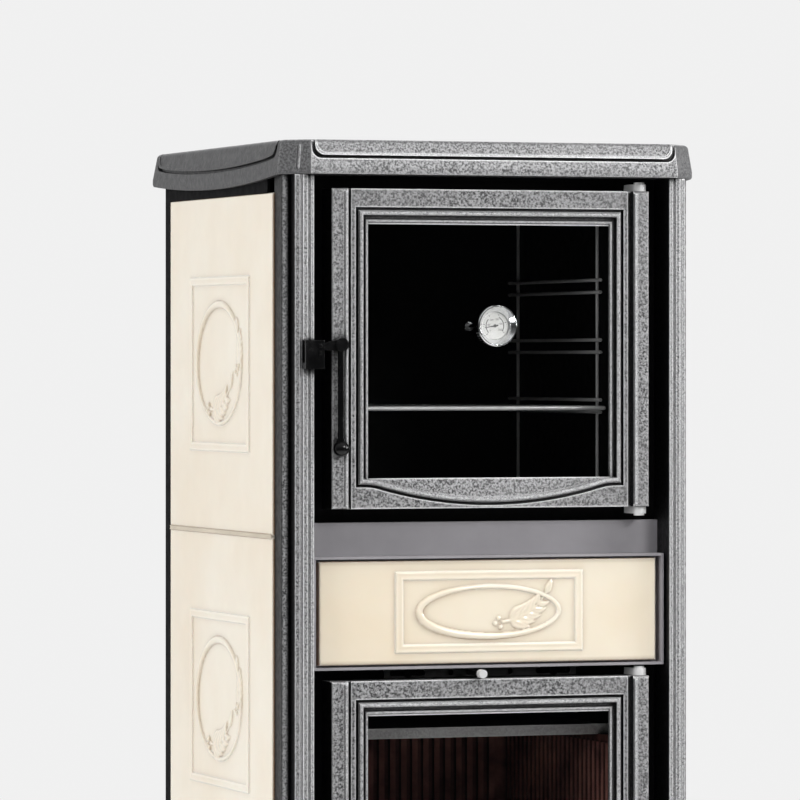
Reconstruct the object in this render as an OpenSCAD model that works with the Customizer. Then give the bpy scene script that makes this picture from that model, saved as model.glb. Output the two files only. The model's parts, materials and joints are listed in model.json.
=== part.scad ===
// Wood-burning range cooker: cast iron top, columns and doors, tiled sides,
// an oven above the firebox and an ash drawer below it.
// Millimetres. X runs to the right, Y to the back, Z up; the origin is on the
// floor, in the middle of the cooker. The front looks along -Y.

/* [Overall] */
// Width over the top plate
top_w = 500; // [470:2:560]
// Depth over the top plate
top_d = 510; // [480:2:560]
// Height of the levelling feet
foot_h = 22; // [20:1:36]

/* [Front layout] */
// Height of the plinth apron
apron_h = 48; // [36:1:70]
// Gap between the apron and the lower strip tile
apron_gap = 6; // [5:1:16]
// Height of the tray round a strip tile
strip_h = 127; // [116:1:150]
// Gap that an air slider's knob runs in
slider_gap = 12.5; // [12:0.5:18]
// Height of the ash drawer's front
ash_h = 66.5; // [62:0.5:90]
// Gap between the ash drawer's front and the fire door
hinge_gap = 13; // [13:0.5:20]
// Height of the fire door
fire_door_h = 359; // [340:1:400]
// Height from the upper strip tile's tray to the oven door
band_h = 53.5; // [40:0.5:80]
// Height of the oven door
oven_door_h = 359; // [340:1:400]
// Gap between the oven door and the top plate
head_gap = 15; // [14:0.5:20]
// How far the door faces stand behind the top plate's front edge
door_set = 11; // [6:1:20]
// Gap between a door's side and a column
side_recess = 22.4; // [20:0.4:34]

/* [Top plate] */
// Thickness of the top plate at its edge
plate_t = 39; // [36:1:48]
// Leg of the chamfer on the two front corners
plate_chamfer = 30; // [24:1:34]
// How far the plate overhangs the columns at each side
plate_over = 6; // [4:1:12]
// How far the plate overhangs the rear corner trims
rear_over = 33; // [26:1:44]
// Drop of the curved lower edge in the middle of each side
swag = 10; // [4:1:12]
// Radius of the round blanking disc
disc_r = 78; // [60:1:85]

/* [Columns and tiles] */
// Width of a front column
column_w = 30.6; // [29:0.2:36]
// Depth of a front column, to the front edge of the side tiles
column_d = 59; // [52:0.5:66]
// How far a column's face stands in front of the door faces
column_out = 2.5; // [0:0.5:4]
// How far a strip tile's face stands behind the door faces
strip_set = 13; // [8:0.5:16]
// Thickness of a tile
tile_t = 12; // [10:0.5:14]
// Joint between two side tiles
tile_joint = 2.2; // [1:0.1:4]
// Width of the framed panel on a tile
panel_w = 226; // [180:2:250]
// Height of the framed panel on a side tile
panel_h = 202; // [160:2:240]
// Height of the framed panel on a strip tile
strip_panel_h = 92; // [70:1:96]

/* [Doors] */
// Depth of a door casting
door_d = 38; // [34:1:42]
// Gap from a door's face to the front frame
frame_set = 44; // [41:1:50]
// Width of the rim round a door casting
rim_w = 14; // [13:0.5:18]
// Width of the glass that shows in a door
view_w = 290; // [270:2:294]
// Height from a door's lower edge to its glass
sill_h = 34; // [33:1:44]
// Height from a door's glass to its upper edge
head_h = 39.6; // [38:0.2:46]
// Drop of the curved moulding under the glass
bow_drop = 21; // [10:1:22]
// Thickness of the door glass
glass_t = 4; // [3:0.5:5]
// Radius of a hinge pin
pin_r = 4; // [3:0.25:4.5]
// Radius of a handle's shaft
shaft_r = 5; // [4:0.25:5.5]
// Length of a handle, from its shaft to the middle of its ball
lever_l = 116; // [95:1:130]
// Radius of a handle's ball
ball_r = 9; // [7:0.5:10]
// Height of a handle's shaft above its door's lower edge
handle_up = 184; // [160:1:200]

/* [Oven and firebox] */
// How far a door laps over the opening behind it, at each side
lap_w = 26; // [24:1:30]
// How far a door laps over the opening behind it, above and below
lap_h = 21; // [20:1:24]
// Depth of the oven behind the front frame
oven_d = 344; // [300:2:350]
// Height of the baking shelf above the oven floor
shelf_up = 86; // [60:1:110]
// Height of the firebox lining
lining_h = 276; // [240:2:286]
// Thickness of a firebox lining plate
lining_t = 14; // [10:1:18]
// Radius of the thermometer
therm_r = 23.5; // [20:0.5:28]
// Height of the thermometer's middle above the oven door's lower edge
therm_up = 205.5; // [190:0.5:220]
// Length of the ash pan
ash_pan_l = 300; // [240:5:320]
// Inner radius of the flue collar
flue_r = 65.5; // [60:0.5:70]
// Height of the flue collar's middle below the top plate's upper face
flue_down = 175; // [150:1:220]

/* [Hidden] */

// Colours
iron = "#4b4b4e";
black_iron = "#1b1b1d";
band_grey = "#8f8d92";
steel = "#b4b6b8";
cream = "#eee0c2";
rope = "#6b6862";
pane = "#20242655";
rust = "#5a3128";
dial_white = "#f4f4f0";

// Clearances
fit = 0.3;          // between pieces that stay apart, and over a sliding face
bore_gap = 0.05;    // radial, between a pin or a shaft and its bore
press_gap = 0.02;   // radial, between a handle's ball and its lever

// Heights, from the floor up
z_strip_lo = foot_h + apron_h + apron_gap;
z_ash = z_strip_lo + strip_h + slider_gap;
z_fire = z_ash + ash_h + hinge_gap;
z_strip_up = z_fire + fire_door_h + slider_gap;
z_oven = z_strip_up + strip_h + band_h;
z_plate = z_oven + oven_door_h + head_gap;
z_top = z_plate + plate_t;

// Depths, from the front to the back
y_plate = -top_d / 2;
y_face = y_plate + door_set;
y_column = y_face - column_out;
y_strip = y_face + strip_set;
y_frame = y_face + frame_set;
frame_t = 6;
y_case = y_frame + frame_t;
y_tile = y_column + column_d + fit;
y_trim = top_d / 2 - rear_over;
trim_d = 18.7;
trim_w = 44;
y_tile_end = y_trim - trim_d - fit;
y_back = y_trim - 28;
sheet_t = 4;

// Half widths
x_side = top_w / 2 - plate_over;
x_column = x_side - column_w;
x_door = x_column - side_recess;
x_case = x_side - 22;
x_open = x_door - lap_w;
x_view = view_w / 2;
x_frame = x_column - fit;

// Openings in the front frame
ash_lap = 9;
air_hole_r = 3.5;
air_pitch = 36;
air_screw_x = 88;
air_travel = air_pitch / 2;
knob_x = -14;
z_air_up = z_strip_up - slider_gap / 2;
z_air_lo = z_ash - slider_gap / 2;

// Ash chamber, firebox and oven
z_ash_floor = z_ash + 3;
ash_floor_t = 3;
ash_pan_z0 = z_ash + 10;
ash_pan_h = ash_h - 16;
z_bed = z_fire + 5;
bed_t = 6;
z_hearth = z_bed + bed_t;
x_lining = x_open + 15;
lining_rib = 5;
y_lining = y_case + fit + 3.7;
y_oven_back = y_case + oven_d;
y_lining_back = y_oven_back;
grate_x = 110;
grate_y0 = y_case + 74;
grate_l = 200;
grate_ledge = 6;
baffle_t = 10;
baffle_set = 47;
liner_t = 2;
z_oven_floor = z_oven + lap_h;
oven_h = oven_door_h - 2 * lap_h + 1;

// Racks and shelf
rack_wire = 2;
shelf_wire = 2.5;
rack_pitch = 69;
rung_gap = 14;
rack_inset = 4;
x_rung = x_open - rack_inset - 2.2;
x_shelf = x_rung - 1.8;

// Door casting, measured from its face and its lower edge
bead_h = 3;
field_y = bead_h;
wall_t = 12.5;
back_y = field_y + wall_t;
rebate_w = 8;
rib_w = 6;
glass_gap = 0.4;
clip_t = 2;
clip_h = 12;
clip_x = 130;
clip_screw_x = 100;
clip_screw_r = 4.2;
gasket_r = 4.5;
groove_w = 9.6;
groove_d = 3.5;
gasket_x = rim_w / 2;
pin_x = x_door - rim_w / 2;
pin_y = 18;
pin_in = 12;
lug_t = 8;
lug_half = 8;
handle_x = x_door - rim_w / 2;
handle_y = -9;
shaft_depth = 28;
arm_reach = 20.8;
keeper_gap = 1.2;
keeper_w = 22;
keeper_h = 32;
keeper_pad = 2;
keeper_lip = 4;
keeper_floor = 7;
keeper_grip = 14;
keeper_screw_r = 2;

// Flue
z_flue = z_top - flue_down;
collar_wall = 5;
collar_out = 8;
y_collar = top_d / 2 + collar_out - 1;

// ---- Shapes that several pieces share ----

// A solid through a stack of rings, each with the same number of points
module loft(rings) {
    n = len(rings[0]);
    m = len(rings);
    points = [for (ring = rings) each ring];
    sides = [for (k = [0:m - 2], i = [0:n - 1])
        [k * n + i, (k + 1) * n + i, (k + 1) * n + (i + 1) % n, k * n + (i + 1) % n]];
    bottom = [[for (i = [0:n - 1]) i]];
    top = [[for (i = [n - 1:-1:0]) (m - 1) * n + i]];
    polyhedron(points, concat(sides, bottom, top), convexity = 4);
}

// Outward side of a path that runs counter-clockwise, scaled so that corners mitre
function side_of(a, b) = [b[1] - a[1], a[0] - b[0]] / norm(b - a);
function mitre(path, i) =
    let (n = len(path),
         u = side_of(path[(i + n - 1) % n], path[i]),
         v = side_of(path[i], path[(i + 1) % n]))
    (u + v) / (1 + u * v);

// A moulding whose section [offset outward, y] runs round a closed path in X and Z
module moulding(path, section) {
    n = len(path);
    m = len(section);
    points = [for (i = [0:n - 1]) let (k = mitre(path, i)) for (s = section)
        [path[i][0] + k[0] * s[0], s[1], path[i][1] + k[1] * s[0]]];
    faces = [for (i = [0:n - 1], j = [0:m - 1]) let (p = i * m, q = ((i + 1) % n) * m, k = (j + 1) % m)
        [p + j, p + k, q + k, q + j]];
    polyhedron(points, faces, convexity = 8);
}

// Half-round bead of half width r that stands h proud of the plane y, sunk 0.6 in it
function bead(r, h, y) = concat(
    [for (t = [0:30:180]) [r * cos(t), y - h * sin(t)]],
    [[-r, y + 0.6], [r, y + 0.6]]);

function rect_path(x, z0, z1) = [[-x, z0], [x, z0], [x, z1], [-x, z1]];
function oval_path(a, b, n) = [for (i = [0:n - 1]) [a * cos(360 * i / n), b * sin(360 * i / n)]];

// Path round the glass: straight at the sides and the top, and bowed down
// between -xb and xb at the bottom, with a short reverse curve at each end
function bow_path(x, z0, z1, xb, drop, r_end) =
    let (a = 2 * atan(drop / xb), r_mid = xb / sin(a) - r_end)
    concat(
        [[-x, z0]],
        [for (t = [0:0.25:1]) [-xb + r_end * sin(a * t), z0 - r_end * (1 - cos(a * t))]],
        [for (t = [-0.9:0.1:0.91]) [r_mid * sin(a * t), z0 - drop + r_mid * (1 - cos(a * t))]],
        [for (t = [1:-0.25:0]) [xb - r_end * sin(a * t), z0 - r_end * (1 - cos(a * t))]],
        [[x, z0], [x, z1], [-x, z1]]);

// Rings for a slab in X and Z whose front edges are rounded with radius r
function slab_ring(x0, x1, z0, z1, inset, y) =
    [[x0 + inset, y, z0 + inset], [x0 + inset, y, z1 - inset],
     [x1 - inset, y, z1 - inset], [x1 - inset, y, z0 + inset]];
function round_slab(x0, x1, z0, z1, y0, y1, r) = concat(
    [for (t = [90:-22.5:0]) slab_ring(x0, x1, z0, z1, r * (1 - cos(t)), y0 + r * (1 - sin(t)))],
    [slab_ring(x0, x1, z0, z1, 0, y1)]);

// Cylinder along Y from y0 to y1
module rod_y(x, z, r, y0, y1, n = 48) {
    translate([x, y0, z]) rotate([-90, 0, 0]) cylinder(r = r, h = y1 - y0, $fn = n);
}

// Cylinder along X from x0 to x1
module rod_x(y, z, r, x0, x1, n = 24) {
    translate([x0, y, z]) rotate([0, 90, 0]) cylinder(r = r, h = x1 - x0, $fn = n);
}

module box(x0, x1, y0, y1, z0, z1) {
    translate([x0, y0, z0]) cube([x1 - x0, y1 - y0, z1 - z0]);
}

// ---- Top plate ----

function plate_ring(front, side, z) =
    let (x = top_w / 2 - side, y = y_plate + front, c = plate_chamfer - 0.586 * side)
    [[-x + c, y, z], [x - c, y, z], [x, y + c, z], [x, top_d / 2 - side, z],
     [-x, top_d / 2 - side, z], [-x, y + c, z]];

plate_step = 19;
plate_round = 6;
plate_lean = 4;
groove_r = 11;
groove_in = 3.6;
lip_in = 6.4;
lip_out = 1.2;
lean_z = 8;
groove_sink = 6;
plate_rim = 20;
plate_skin = 12;
plate_reed = 3.2;
disc_t = 7;
disc_lip = 8;
side_y0 = y_plate + plate_chamfer + 3;
side_y1 = top_d / 2 - 3;
swag_n = 16;

// Points along the curved line on the plate's side, which dips by swag in the middle
function swag_line(z) = [for (t = [0:1 / swag_n:1])
    [side_y0 + t * (side_y1 - side_y0), z - swag * 4 * t * (1 - t)]];

// The same line between two ends that turn up to the plate's upper face, moved in by d
function side_groove(d) =
    let (y0 = side_y0 + 8 + d, y1 = side_y1 - 8 - d, z = z_plate + plate_step + d, r = groove_r)
    concat(
        [[y0, z_top + 1]],
        [for (t = [0:22.5:90]) [y0 + r * (1 - cos(t)), z - 0.8 + r * (1 - sin(t))]],
        [for (t = [1.5 / swag_n:1 / swag_n:1 - 1 / swag_n])
            [side_y0 + t * (side_y1 - side_y0), z - swag * 4 * t * (1 - t)]],
        [for (t = [90:-22.5:0]) [y1 - r * (1 - cos(t)), z - 0.8 + r * (1 - sin(t))]],
        [[y1, z_top + 1]]);

// Prism on the plate's side from an outline in Y and Z, between two X values
module side_prism(outline, x0, x1) {
    translate([x0, 0, 0]) rotate([90, 0, 90]) linear_extrude(x1 - x0) polygon(outline);
}

// Strip along the plate's side whose lower edge dips below the plate
module plate_side() {
    side_prism(concat([[side_y1, z_plate + plate_step / 2], [side_y0, z_plate + plate_step / 2]],
        swag_line(z_plate)), x_side + fit, top_w / 2);
}

// Band on the plate's side between that line moved in by d0 and by d1
module side_band(d0, d1, x0) {
    side_prism(concat(side_groove(d0), [for (i = [len(side_groove(d1)) - 1:-1:0]) side_groove(d1)[i]]),
        x0, top_w / 2 + 1);
}

// Outline of the front groove's outer edge, moved in by d; it turns up at both ends
module front_groove_shape(d) {
    x = top_w / 2 - plate_chamfer - 2 - d;
    z = z_plate + plate_step - 1 + d;
    translate([-x, z + groove_r]) square([2 * x, plate_t]);
    translate([-x + groove_r, z]) square([2 * (x - groove_r), groove_r + 1]);
    for (s = [-1, 1]) translate([s * (x - groove_r), z + groove_r]) circle(groove_r, $fn = 64);
}

// Band on the plate's front between two such outlines
module front_band(d0, d1, depth) {
    translate([0, y_plate + depth, 0]) rotate([90, 0, 0]) linear_extrude(depth + 1)
        difference() {
            front_groove_shape(d0);
            front_groove_shape(d1);
        }
}

// The plate's outer form, upright at its foot and leaning in above, or out by d there
module plate_form(d) {
    lean_h = plate_t - plate_round - lean_z;
    loft(concat(
        [plate_ring(2.5, 2.5, z_plate), plate_ring(0.7, 0.7, z_plate + 0.7),
         plate_ring(0, 0, z_plate + 2.5), plate_ring(0, 0, z_plate + lean_z + lean_h * d / plate_lean)],
        [for (t = [0:15:90])
            let (inset = plate_lean - d + plate_round * (1 - cos(t)))
            plate_ring(inset, inset, z_top - plate_round * (1 - sin(t)))]));
}

// Reed on the middle of a front corner, which follows the corner's lean
module corner_reed(s) {
    reed = plate_chamfer * 0.4;
    tilt = atan(plate_lean * 0.7071 / (plate_t - plate_round - lean_z));
    translate([s * (top_w / 2 - plate_chamfer + reed - plate_reed / 2), y_plate + reed + plate_reed / 2,
        z_plate]) {
        cylinder(r = plate_reed, h = lean_z, $fn = 32);
        translate([0, 0, lean_z]) {
            sphere(r = plate_reed, $fn = 32);
            rotate([-tilt, -tilt * s, 0])
                cylinder(r = plate_reed, h = plate_t - plate_round - lean_z, $fn = 32);
        }
    }
}

module top_plate() {
    color(iron) difference() {
        union() {
            plate_form(0);
            plate_side();
            mirror([1, 0, 0]) plate_side();
            intersection() {
                plate_form(lip_out);
                union() {
                    front_band(groove_in, lip_in, groove_sink + 3);
                    side_band(groove_in, lip_in, top_w / 2 - groove_sink - 3);
                    mirror([1, 0, 0]) side_band(groove_in, lip_in, top_w / 2 - groove_sink - 3);
                }
            }
            for (s = [-1, 1]) corner_reed(s);
        }
        box(-top_w / 2 + plate_rim, top_w / 2 - plate_rim, y_plate + plate_rim + plate_chamfer,
            top_d / 2 - plate_rim, z_plate - swag - 1, z_top - plate_skin);
        front_band(0, groove_in, groove_sink);
        side_band(0, groove_in, top_w / 2 - groove_sink - 1);
        mirror([1, 0, 0]) side_band(0, groove_in, top_w / 2 - groove_sink - 1);
        translate([0, 0, z_plate]) cylinder(r = disc_r - disc_lip, h = plate_t + 1, $fn = 96);
        translate([0, 0, z_top - disc_t]) cylinder(r = disc_r + fit, h = disc_t + 1, $fn = 96);
    }
}

module flue_blanking_disc() {
    color(iron) difference() {
        union() {
            translate([0, 0, z_top - disc_t]) cylinder(r = disc_r, h = disc_t, $fn = 96);
            translate([0, 0, z_top - plate_skin]) cylinder(r = disc_r - disc_lip - 1, h = plate_skin - 1,
                $fn = 96);
        }
        translate([0, -disc_r + 16, z_top - 4]) cylinder(r = 7, h = 5, $fn = 32);
        for (r = [disc_r - 10, disc_r - 34])
            translate([0, 0, z_top - 0.8]) difference() {
                cylinder(r = r, h = 1, $fn = 96);
                cylinder(r = r - 2, h = 1, $fn = 96);
            }
    }
}

// ---- Columns, corner trims and tiles ----

corner_bead = 5.5;
bead_back = 26.5;
turn_w = 8;
turn_d = 6;
reed_w = 5;
flute_r = 1.7;
notch_d = 3;
wall_c = 4;
flange_t = 3;
flange_l = 16;
x_tile_back = x_side - tile_t;

// Section of the right column: three reeds that turn round the corner, a deep groove,
// a round bead on the corner, a sunk side and a flange that backs the tiles
module column_section() {
    y1 = y_column + column_d;
    x_turn = x_side - corner_bead * 2 - turn_w + 1.4;
    difference() {
        union() {
            polygon([[x_column, y1], [x_column, y_column + 1], [x_column + 1, y_column],
                [x_turn, y_column], [x_turn + turn_w, y_column + turn_d],
                [x_turn + turn_w - 0.5, y_column + bead_back - 2.5],
                [x_side - corner_bead, y_column + bead_back], [x_side - notch_d, y_column + bead_back + 3],
                [x_side - notch_d, y1]]);
            translate([x_side - corner_bead, y_column + bead_back]) circle(corner_bead, $fn = 48);
        }
        for (p = [[x_column + reed_w + 1, y_column - 0.4], [x_turn + 2.2, y_column + 0.9]])
            translate(p) circle(flute_r, $fn = 24);
        translate([x_column + wall_c, y_column + 2 * wall_c]) square([flange_l - 5, column_d]);
        translate([x_column - 1, y_case - fit]) square([wall_c + 2, column_d]);
    }
    translate([x_tile_back - fit - flange_t, y1 - 1]) square([flange_t, flange_l + 1]);
}

module column_right(z0) {
    translate([0, 0, z0]) linear_extrude(z_plate - z0) column_section();
}

module front_column_right() {
    color(iron) column_right(foot_h);
}

module front_column_left() {
    color(iron) mirror([1, 0, 0]) column_right(foot_h);
}

// Folded steel trim over the rear edge of the tiles
module rear_corner() {
    t = 2;
    y0 = y_trim - trim_d;
    color(black_iron) translate([0, 0, foot_h]) linear_extrude(z_plate - foot_h) {
        translate([x_side - t, y0]) square([t, trim_d]);
        translate([x_side - trim_w, y_trim - t]) square([trim_w, t]);
        translate([x_case + fit, y0]) square([x_side - x_case - fit, t]);
    }
}

module rear_corner_right() {
    rear_corner();
}

module rear_corner_left() {
    mirror([1, 0, 0]) rear_corner();
}

sill_top = foot_h + 18.7;
rail_bottom = z_plate - 18.7;
tile_h = (rail_bottom - sill_top - 2 * tile_joint - 2 * fit) / 3;
frame_band = 10;
oval_gap_w = 58;
oval_gap_h = 64;
oval_gap_strip = 36;
tile_round = 2;

// Raised flat border and oval ring on a panel that is w wide and h high
module panel_relief(w, h, oval_w, oval_h) {
    m = frame_band / 2;
    moulding(rect_path(w / 2 - m, -h / 2 + m, h / 2 - m),
        [[m, 0], [m - 0.5, -1.1], [m - 2, -1.8], [0, -1.5], [2 - m, -1.8], [0.5 - m, -1.1], [-m, 0],
         [-m, 0.6], [m, 0.6]]);
    moulding(oval_path(oval_w / 2, oval_h / 2, 40), bead(2.6, 1.9, 0));
}

// Side tile on the left, numbered from the bottom; its face looks along -X
module side_tile(level) {
    z0 = sill_top + fit + level * (tile_h + tile_joint);
    l = y_tile_end - y_tile;
    color(cream) translate([-x_side, (y_tile + y_tile_end) / 2, z0 + tile_h / 2]) rotate([0, 0, -90]) {
        loft(round_slab(-l / 2, l / 2, -tile_h / 2, tile_h / 2, 0, tile_t, tile_round));
        panel_relief(panel_w, panel_h, panel_w - oval_gap_w, panel_h - oval_gap_h);
    }
}

module side_tile_left_lower() { side_tile(0); }
module side_tile_left_middle() { side_tile(1); }
module side_tile_left_upper() { side_tile(2); }
module side_tile_right_lower() { mirror([1, 0, 0]) side_tile(0); }
module side_tile_right_middle() { mirror([1, 0, 0]) side_tile(1); }
module side_tile_right_upper() { mirror([1, 0, 0]) side_tile(2); }

tray_t = 3;
tray_lip = 4;
tray_gap = 2;
x_tray = x_column - 2.4;
x_strip = x_tray - tray_t - 5.3;

// Strip tile over a door, in the tray whose lower edge is at z0
module strip_tile(z0) {
    m = tray_t + tray_gap;
    h = strip_h - 2 * m;
    color(cream) translate([0, y_strip, z0 + strip_h / 2]) {
        loft(round_slab(-x_strip, x_strip, -h / 2, h / 2, 0, tile_t, tile_round));
        panel_relief(panel_w, strip_panel_h, panel_w - oval_gap_w,
                strip_panel_h - oval_gap_strip);
    }
}

module strip_tile_upper() { strip_tile(z_strip_up); }
module strip_tile_lower() { strip_tile(z_strip_lo); }

// Shallow trays that hold the strip tiles in front of the frame: a rim round the
// tile, and a web that the tile rests against
module strip_tile_carriers() {
    y0 = y_strip - tray_lip;
    y1 = y_strip + tile_t;
    x = x_tray - tray_t;
    color(black_iron) for (z0 = [z_strip_lo, z_strip_up]) difference() {
        box(-x_tray, x_tray, y0, y_frame, z0, z0 + strip_h);
        box(-x, x, y0 - 1, y1, z0 + tray_t, z0 + strip_h - tray_t);
        box(-x, x, y1 + 2, y_frame + 1, z0 + tray_t, z0 + strip_h - tray_t);
    }
}

// ---- Front frame, casing and base ----

// A door's window in the frame, and the lugs above and below that hold its pins
lug_z = [z_oven + oven_door_h + fit, z_oven - fit - lug_t,
         z_fire + fire_door_h + fit, z_fire - fit - lug_t];

// Shoulder screws that guide an air slider
module slider_screws(z) {
    for (x = [-air_screw_x, air_screw_x]) {
        rod_y(x, z, 3, y_frame - 5.3, y_frame + 0.5, 32);
        rod_y(x, z, 5, y_frame - 5.3, y_frame - 3.1, 32);
    }
}

// Heights of the front frame's four rails, each from its lower to its upper edge
rail_z = [[foot_h + sheet_t, z_ash + ash_lap], [z_ash + ash_h - 2, z_fire + lap_h],
          [z_fire + fire_door_h - lap_h + 1, z_oven + lap_h],
          [z_oven + oven_door_h - lap_h + 1, z_plate - fit]];

// Front frame: two uprights with four rails between them
module front_frame() {
    color(black_iron) {
        for (s = [-1, 1])
            box(min(s * x_open, s * x_frame), max(s * x_open, s * x_frame), y_frame, y_case,
                rail_z[0][0], rail_z[3][1]);
        difference() {
            union() {
                for (z = rail_z) box(fit - x_open, x_open - fit, y_frame, y_case, z[0], z[1]);
                slider_screws(z_air_up);
                slider_screws(z_air_lo);
            }
            for (z = [z_air_up, z_air_lo], i = [-2:2])
                rod_y(i * air_pitch, z, air_hole_r, y_frame - 1, y_case + 1, 32);
        }
    }
}

// The four hinge brackets: a lug on the front frame, and a headed pin that goes into its door
module hinge_brackets() {
    head = 2.2;
    y = y_face + pin_y;
    color(steel) for (i = [0:3]) {
        down = i % 2 == 0 ? 1 : -1;
        z_mid = lug_z[i] + lug_t / 2;
        box(pin_x - lug_half, pin_x + lug_half, y, y_frame, lug_z[i], lug_z[i] + lug_t);
        translate([pin_x, y, lug_z[i]]) cylinder(r = lug_half, h = lug_t, $fn = 48);
        translate([pin_x, y, z_mid]) rotate([down > 0 ? 0 : 180, 0, 0]) {
            translate([0, 0, -lug_t / 2 - pin_in]) cylinder(r = pin_r, h = lug_t + pin_in, $fn = 48);
            translate([0, 0, lug_t / 2 - 0.5]) cylinder(r = pin_r + 2, h = head + 0.5, $fn = 48);
        }
    }
}

band_out = 10;
band_top_gap = 16;

// Plain panel between the upper strip tile and the oven door, folded back at its edges
module band_panel() {
    t = 2;
    z0 = z_strip_up + strip_h;
    z1 = z_oven - band_top_gap;
    color(band_grey) difference() {
        box(-x_frame, x_frame, y_frame - band_out, y_frame, z0, z1);
        box(-x_frame + t, x_frame - t, y_frame - band_out + t, y_frame + 1, z0 + t, z1 - t);
    }
}

module casing_side() {
    color(black_iron) box(x_case - sheet_t, x_case, y_case, y_back + sheet_t, sill_top,
        z_plate - sheet_t);
}

module casing_side_right() { casing_side(); }
module casing_side_left() { mirror([1, 0, 0]) casing_side(); }

module casing_back() {
    color(black_iron) difference() {
        box(-x_case + sheet_t + fit, x_case - sheet_t - fit, y_back, y_back + sheet_t,
            foot_h + sheet_t, z_plate - sheet_t);
        rod_y(0, z_flue, flue_r - 4, y_back - 1, y_back + sheet_t + 1, 96);
    }
}

// Top sheet with a turned-down flange that caps the side tiles
module casing_top() {
    y0 = y_column + column_d + flange_l + 0.5;
    t = 3;
    color(black_iron) difference() {
        union() {
            box(-x_case, x_case, y_case, y_back + sheet_t, z_plate - sheet_t, z_plate);
            for (s = [-1, 1]) {
                translate([s > 0 ? 0 : -x_side, y0, z_plate - sheet_t])
                    cube([x_side, y_tile_end - y0, sheet_t]);
                translate([s > 0 ? x_side - t : -x_side, y0, rail_bottom])
                    cube([t, y_tile_end - y0, z_plate - rail_bottom]);
            }
        }
        translate([0, 0, z_plate - sheet_t - 1]) cylinder(r = disc_r - disc_lip, h = sheet_t + 2, $fn = 96);
    }
}

apron_t = 6;
x_sill = x_case - sheet_t;
sill_y0 = y_column + column_d + flange_l + 0.5;

// Bottom sheet, apron between the columns and sills under the side tiles
module base_frame() {
    y0 = y_face + 12;
    color(black_iron) {
        box(-x_frame, x_frame, y0, y_back + sheet_t, foot_h, foot_h + sheet_t);
        box(-x_sill - 1, x_sill + 1, sill_y0, y_back + sheet_t, foot_h, foot_h + sheet_t);
        for (s = [-1, 1])
            translate([s > 0 ? x_sill : -x_side + fit, sill_y0, foot_h])
                cube([x_side - fit - x_sill, y_tile_end - sill_y0, sill_top - foot_h]);
    }
    color(iron) {
        loft(round_slab(-x_frame, x_frame, foot_h, foot_h + apron_h, y0 - apron_t, y0, 2));
        translate([0, y0 - apron_t, foot_h + apron_h / 2])
            moulding(rect_path(x_frame - 12, -apron_h / 2 + 10, apron_h / 2 - 10), bead(2, 1.8, 0));
    }
}

foot_x = x_column - 24;
foot_y0 = y_column + 30;
foot_y1 = y_back - 22;

module levelling_feet() {
    color(black_iron) for (x = [-foot_x, foot_x], y = [foot_y0, foot_y1]) translate([x, y, 0]) {
        cylinder(r = 21, h = 5, $fn = 64);
        translate([0, 0, 5]) cylinder(r1 = 17, r2 = 9, h = 4, $fn = 64);
        cylinder(r = 5, h = foot_h, $fn = 32);
        translate([0, 0, foot_h - 7]) cylinder(r = 10.4, h = 7, $fn = 6);
    }
}

shield_y = y_trim + 16;
vent_h = 60;
vent_drop = 420;
vent_pitch = 24;

// Rear heat shield, folded forward at its sides, with air slots
module rear_heat_shield() {
    t = 2;
    w = x_side - 34;
    z0 = foot_h + 40;
    z1 = z_plate - 24;
    color(black_iron) difference() {
        union() {
            box(-w, w, shield_y, shield_y + t, z0, z1);
            for (s = [-1, 1])
                box(s > 0 ? w - t : -w, s > 0 ? w : -w + t, y_trim, shield_y, z0, z1);
        }
        rod_y(0, z_flue, flue_r + collar_wall + 5, shield_y - 1, shield_y + t + 1, 96);
        for (z = [z0 + vent_h, z1 - vent_drop], i = [-6:6])
            box((i - 1 / 6) * vent_pitch, (i + 1 / 6) * vent_pitch,
                shield_y - 1, shield_y + t + 1, z, z + vent_h);
    }
}

// Cast spigot for the flue pipe, with a flange on the casing and a stop lip inside
module flue_collar() {
    y0 = y_back + sheet_t;
    color(iron) difference() {
        union() {
            rod_y(0, z_flue, flue_r + collar_wall, y0, y_collar, 96);
            rod_y(0, z_flue, flue_r + 20, y0, y0 + 6, 96);
        }
        rod_y(0, z_flue, flue_r - 4, y0 - 1, y0 + 5, 96);
        rod_y(0, z_flue, flue_r, y0 + 4, y_collar + 1, 96);
    }
}

// ---- Oven ----

module oven_liner() {
    x = x_open;
    z0 = z_oven_floor;
    color(steel) difference() {
        box(-x - liner_t, x + liner_t, y_case, y_oven_back + liner_t, z0 - liner_t, z0 + oven_h + liner_t);
        box(-x, x, y_case - 1, y_oven_back, z0, z0 + oven_h);
    }
}

rack_y0 = y_case + 24;
rack_y1 = y_oven_back - 20;
z_shelf_rung = z_oven_floor + shelf_up;

// Wire ladders on the oven's side walls: pairs of rungs that a shelf slides between
module oven_side_racks() {
    x_post = x_open - rack_wire - 0.2;
    color(steel) for (s = [-1, 1]) {
        for (y = [rack_y0 + 20, rack_y1 - 20])
            translate([s * x_post, y, z_oven_floor + fit]) cylinder(r = rack_wire,
                h = oven_h - 2 * fit, $fn = 24);
        for (i = [0:2], dz = [0, rung_gap])
            translate([s * (x_post - 2 * rack_wire + 0.3), rack_y0, z_shelf_rung + i * rack_pitch + dz])
                rotate([-90, 0, 0]) cylinder(r = rack_wire, h = rack_y1 - rack_y0, $fn = 24);
    }
}

shelf_y0 = y_case + 9;
shelf_y1 = y_oven_back - 15;
z_shelf = z_shelf_rung + rack_wire + fit + shelf_wire;
shelf_bars = 12;

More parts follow.
